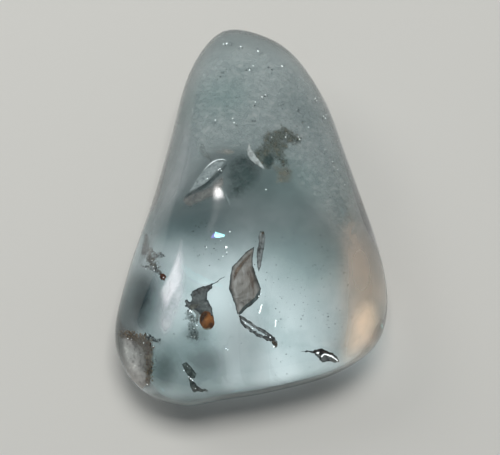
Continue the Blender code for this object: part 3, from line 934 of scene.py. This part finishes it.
# Painted shade: a dark teal patch in the moss, in the knee's veil.
MOSS_SHADE = [(0.75, 4.45), (1.37, 4.85), (1.9, 4.75), (1.8, 4.1), (1.5, 3.5), (1.1, 3.5), (0.85, 3.9)]
veil("moss_painted_shade", knee_painted_shade, MOSS_SHADE, 0.19, crumple=0, fray=0.12, rim=0.35)
MOSS_FOOT = [
    (1.55, 4), (2.2, 4.1), (2.8, 3.95), (3.15, 3.45), (3.25, 2.8), (2.9, 2.3), (2.2, 2.2), (1.65, 2.4),
    (1.75, 3), (1.4, 3.55),
]
foot_veil = mineral(
    "peach_foot", (0.16, 0.13, 0.1), (0.25, 0.215, 0.165), (0.36, 0.3, 0.24),
    1.0, roughness=0.6, cover=(0.35, 0.8),
)
veil("moss_foot", foot_veil, MOSS_FOOT, 0.22, crumple=0, fray=0.15, rim=0.6)
crust("moss_darks", grit, [
    (2.34, 4.84, 0.3, 0.07), (2.38, 5.27, 0.3, 0.06), (2.61, 6.39, 0.3, 0.12), (2.5, 6.58, 0.3, 0.08),
    (3.39, 6.82, 0.3, 0.07), (3.83, 7.11, 0.3, 0.06), (3.62, 5.73, 0.3, 0.08), (3.1, 5.4, 0.3, 0.07),
    (2.93, 3.39, 0.3, 0.06), (2.29, 3.81, 0.3, 0.09), (1.92, 5.36, 0.3, 0.07), (1.46, 5.55, 0.3, 0.09),
    (1.05, 4.98, 0.3, 0.1), (1.1, 5.9, 0.3, 0.07), (2.1, 4.3, 0.3, 0.07), (0.55, 4.7, 0.3, 0.1),
], 64)
crust("moss_glints", spark, [
    (1.51, 5.95, 0.25, 0.05), (2.55, 5.98, 0.25, 0.07), (3.58, 5.8, 0.25, 0.07), (3.25, 5.55, 0.25, 0.03),
    (1.1, 5.35, 0.25, 0.03), (4.25, 6.75, 0.25, 0.05),
], 65)
random.seed(61)
moss_spots = []
for moss_path, count, spread, sizes in MOSS_PATHS:
    moss_spots += trail(moss_path, count, spread, 0.3, sizes)
crust("moss_cloud", moss, moss_spots, 62)
# Painted reflection: the splinter's pale colours glow faintly by themselves.
splinter_film = mineral(
    "pale_splinter", (0.3, 0.3, 0.29), (0.58, 0.58, 0.57), (0.92, 0.92, 0.9),
    4, rim=(0.36, 0.36, 0.35), roughness=0.3, glow=0.08,
)
film("bright_splinter", splinter_film, SPLINTER_OUTLINE, 0.17, crumple=0, rim=0.06)

# The glints: tiny flat bubbles under the skin that flash white, and one crack face that flashes cyan with a
# violet edge, because the air in it is about as thin as light's own waves are long. The flashes are painted
# highlights: their finishes glow by themselves.
SPARKLE_OUTLINE = [
    (-2.85, -1.62), (-2.63, -1.2), (-2.44, -1.3), (-1.93, -1.45), (-1.99, -1.6), (-2.36, -1.66),
]
# Painted highlight: the cyan flash and its violet edge glow by themselves.
flash = mineral(
    "cyan_flash", (0.25, 0.75, 0.8), (0.55, 0.95, 0.95), (1.0, 1.0, 1.0),
    1.6, roughness=0.1, bump=0, glow=0.9,
)
film("sparkle_film", flash, SPARKLE_OUTLINE, 0.8, crumple=0.05, fray=0.03, rim=0.05, cuts=2)
SPARKLE_EDGE = [(-2.98, -1.66), (-2.8, -1.34), (-2.66, -1.24), (-2.74, -1.5), (-2.62, -1.7)]
violet_flash = mineral(
    "violet_flash", (0.2, 0.22, 0.55), (0.32, 0.3, 0.7), (0.45, 0.5, 0.8),
    3, roughness=0.1, bump=0, glow=0.35,
)
film("sparkle_edge", violet_flash, SPARKLE_EDGE, 0.7, crumple=0, fray=0.02, rim=0.05, cuts=2)
crust("lone_glints", spark, [
    (-1.84, -2.37, 0.8, 0.1), (-2.09, -3.06, 0.8, 0.05), (-1.8, -2.75, 0.8, 0.05),
    (-1.58, -1.21, 0.8, 0.06), (-3.3, -2.37, 0.8, 0.05), (-2.25, -1.88, 0.8, 0.04), (1.08, 1.97, 0.5, 0.06),
    (-2.1, 13.25, 0.3, 0.07), (-1.85, 13.29, 0.3, 0.07), (0.5, 12.69, 0.3, 0.09), (-0.14, 11.2, 0.3, 0.1),
    (0.13, 11.51, 0.3, 0.06), (2.31, 11.51, 0.3, 0.07), (1.06, 9.24, 0.3, 0.05), (4.73, 8.93, 0.3, 0.05),
    (4.91, 8.78, 0.3, 0.05), (5.39, 7.61, 0.3, 0.06), (2.62, 6.14, 0.3, 0.05), (3.59, 5.86, 0.3, 0.05),
    (6.13, 3.69, 0.3, 0.04), (-1.39, 7.42, 0.3, 0.05), (-1.84, -9.86, 1, 0.05), (-1.7, -9.95, 1, 0.04),
], 71)

GLINT_DASHES = (
    ("leaf_dash", spark, [(0.8, -6.62), (0.72, -6.66), (0.54, -7.26), (0.62, -7.28)]),
    ("tail_dash", spark, [(1.82, -7.75), (1.74, -7.77), (1.7, -8.27), (1.77, -8.29)]),
    ("crown_dash", crescent_film, [(-1.9, 1.72), (-1.98, 1.66), (-1.6, 0.78), (-1.53, 0.8)]),
)
for name, finish, outline in GLINT_DASHES:
    film(name, finish, outline, 0.6, crumple=0, fray=0.03, rim=0.02, cuts=2)
crust("tail_knob", grit, [
    (1.66, -9.46, 2.4, 0.22), (1.78, -9.6, 2.4, 0.15), (0.85, -1.3, 1.7, 0.15),
], 72, 2)
crust("knob_glints", spark, [
    (1.62, -9.72, 2.2, 0.07), (1.35, -9.02, 2.2, 0.05), (0.55, -6.02, 2.2, 0.06), (0.68, -5.85, 2.2, 0.04),
    (-0.95, -7.28, 2.2, 0.06), (-0.45, -7.98, 2.4, 0.05), (0.1, -8.38, 2.4, 0.04),
], 73)

# The pocks: pinholes that tumbling opened along the narrow end and the right flank, each a dark hollow
# beside a bright edge. The hollows are painted shade, dark grains, and the bright edges painted highlights.
POCK_PLACES = [
    (-2.05, 13.2), (-1.75, 13.25), (-1.45, 13.15), (-0.75, 12.95), (0.4, 12.65), (0.62, 12.55),
    (-0.2, 11.35), (-0.05, 11.15), (-0.35, 11.1), (1.4, 11.4), (2.31, 11.51), (-1.6, 11.25), (-1.95, 11),
    (-2.3, 10.8), (-2.55, 10.6), (1.06, 9.24), (0.8, 9), (4.7, 8.9), (4.9, 8.75), (5, 8.95), (5.4, 7.6),
    (5.45, 7.35), (2.6, 6.2), (3.6, 5.9), (5.6, 4.9), (5.9, 4.4), (6.1, 4), (6.35, 3.4), (6.6, 2.9),
    (6.85, 2.25), (-4.05, 9.2), (-4.75, 10.4), (0.2, 8.6), (2.2, 8.4), (3.4, 8), (-2.8, 7.2), (-1.2, 7),
    (0.3, 7.4),
]
random.seed(74)
pock_shadows, pock_edges = [], []
for x, y in POCK_PLACES:
    for _ in range(3):
        aside = (random.gauss(0, 0.12), random.gauss(0, 0.1))
        pock_shadows.append((x + aside[0], y + aside[1], 0.25, random.uniform(0.03, 0.09)))
    if random.random() < 0.6:
        pock_edges.append((x + random.gauss(0, 0.1), y + 0.1, 0.2, random.uniform(0.02, 0.06)))
crust("pock_shadows", dark_grit_and_shade, pock_shadows, 75)
crust("pock_glints", spark, pock_edges, 76)

# The haze: veils of tiny bubbles just under the skin, along old healed cracks. They frost the narrow end
# and run down both flanks. At the lower right a peach veil glows by itself, which is painted light, and on
# the left flank a pale glowing veil paints a reflection, part of the window's streak.
HAZE_END = [
    (-0.8, 13.7), (1.4, 13.4), (3.7, 12.4), (6, 10.1), (7.1, 7.3), (7.9, 4.5), (8.7, 1.8), (9.2, -1),
    (7.4, -3.2), (5.4, -1.6), (4, 0.6), (2.4, 2.4), (-0.2, 4.2), (-2.6, 4.4), (-4.6, 2), (-5.4, 4.6),
    (-5.6, 6.8), (-5.2, 9.4), (-4.5, 11.9), (-2.8, 13.4),
]
HAZE_LEFT = [
    (-4.6, 8), (-3.9, 5), (-4.5, 2.4), (-5.6, 0.4), (-6.5, -1.6), (-7.4, -3.2), (-8.6, -4.2),
    (-8.5, -2.8), (-7.8, -0.4), (-6.9, 2.2), (-6, 5), (-5.3, 7.4),
]
HAZE_RIGHT = [
    (7.2, 1.4), (8.5, -0.6), (9.3, -2.6), (9.9, -5.2), (9.9, -7.8), (9, -9.6), (7.6, -10.8), (6.2, -11),
    (5.6, -9.6), (5.9, -7.8), (6, -5), (6, -2.5), (6.2, -0.6),
]
PEACH_GLOW = [
    (7, -7), (8.1, -5.8), (9.4, -6.2), (9.9, -8), (9.3, -9.8), (8.2, -10.9), (6.9, -11.5),
    (5.9, -11.1), (6.2, -9.2),
]
frost = mineral(
    "bubble_frost", (0.33, 0.39, 0.39), (0.43, 0.48, 0.47), (0.55, 0.57, 0.55),
    (2.1, 3, 2.6), roughness=0.6, bump=0.15, cover=(0.36, 0.49),
)
pink_frost = mineral(
    "pink_frost", (0.5, 0.52, 0.525), (0.56, 0.58, 0.585), (0.62, 0.63, 0.635),
    0.5, roughness=0.6, bump=0, cover=(0.36, 0.4),
)
peach_frost = mineral(
    "peach_frost", (0.81, 0.68, 0.565), (0.81, 0.68, 0.565), (0.815, 0.685, 0.57),
    0.4, roughness=0.6, bump=0, cover=(0.45, 0.46),
)
veil("right_flank_haze", peach_frost, HAZE_RIGHT, 0.3, crumple=0.05, rim=1.7, cuts=9)
# Painted light: this peach veil glows by itself where the steep rim lets little lamplight in.
peach_painted_glow = mineral(
    "peach_glow", (1.0, 0.845, 0.68), (1.0, 0.845, 0.68), (1.0, 0.85, 0.685),
    0.4, roughness=0.6, bump=0, glow=0.5, cover=(0.49, 0.5),
)
veil("lower_right_painted_glow", peach_painted_glow, PEACH_GLOW, 0.26, crumple=0, rim=1.5, cuts=8)
veil("narrow_end_haze", frost, HAZE_END, 0.3, crumple=0.1, rim=1.4, cuts=10)
# Painted reflection: a pale glowing veil along part of the window's streak on the left flank.
PAINTED_STREAK = [
    (-5.05, -0.9), (-4.9, -2.4), (-4.7, -4.2), (-4.65, -5.6), (-5, -7), (-5.7, -8.6), (-6.4, -9.1),
    (-6.9, -8.2), (-6.8, -6.6), (-6.4, -5.2), (-6, -3.8), (-5.5, -2.4),
]
streak_reflection_paint = mineral(
    "pale_painted_reflection", (0.8, 0.76, 0.8), (0.85, 0.81, 0.85), (0.9, 0.86, 0.9),
    0.8, roughness=0.6, bump=0, glow=0.25, cover=(0.3, 0.52),
)
veil("streak_painted_reflection", streak_reflection_paint, PAINTED_STREAK, 0.3, crumple=0.05, rim=0.55, cuts=6)
veil("left_flank_haze", pink_frost, HAZE_LEFT, 0.25, crumple=0.05, rim=0.8, cuts=8)

# The specks: dark dust grains that the crystal grew round, scattered through the whole stone and thickest
# in the narrow end.
SPECK_SPOTS = [
    (-1.86, 8.39), (-0.14, 8.46), (-0.32, 7.22), (-1.63, 11.28), (-1.98, 11.04), (-2.5, 10.73),
    (-4.07, 9.2), (-4.75, 10.34), (3.85, 7.22), (3.52, 6.91), (5.88, 1.78), (5.86, -0.71), (6.34, -0.71),
    (6.29, -1.54), (3.13, -1.31), (5.18, -2.36), (6.86, -3), (7.05, -5.19), (7.18, -6.08), (7.31, -7.55),
    (7.96, -7.69), (7.37, -8.57), (7.29, -9.23), (7.35, -9.7), (3.26, -4.82), (-5.61, -8.78),
    (-3.39, -9.19), (-6.24, -8.48),
]
SPECK_CLOUDS = (
    ([(-3.0, 10.5), (0.5, 10.0), (3.0, 9.0)], 90, 1.3),
    ([(-3.5, 7.5), (0.0, 7.0), (4.5, 6.5)], 80, 1.2),
    ([(4.8, 6.0), (6.0, 2.5), (6.6, -1.0)], 60, 0.6),
    ([(6.8, -3.0), (7.4, -8.5)], 30, 0.6),
    ([(-2.0, -2.6), (-4.0, -2.8)], 24, 0.3),
    ([(1.0, -10.5), (4.0, -5.0)], 60, 1.8),
    ([(2.0, -3.0), (6.0, -7.0)], 60, 1.6),
    ([(-5.4, 2.0), (-3.0, -2.0)], 30, 0.9),
)
speck = mineral(
    "dust_speck", (0.02, 0.028, 0.03), (0.05, 0.06, 0.06), (0.12, 0.14, 0.14),
    4, roughness=0.6,
)
random.seed(81)
speck_spots = [(x, y, 0.6, random.uniform(0.03, 0.09)) for x, y in SPECK_SPOTS]
for cloud_path, count, spread in SPECK_CLOUDS:
    speck_spots += trail(cloud_path, count, spread, 1.2, (0.02, 0.055))
crust("dust_specks", speck, speck_spots, 82)
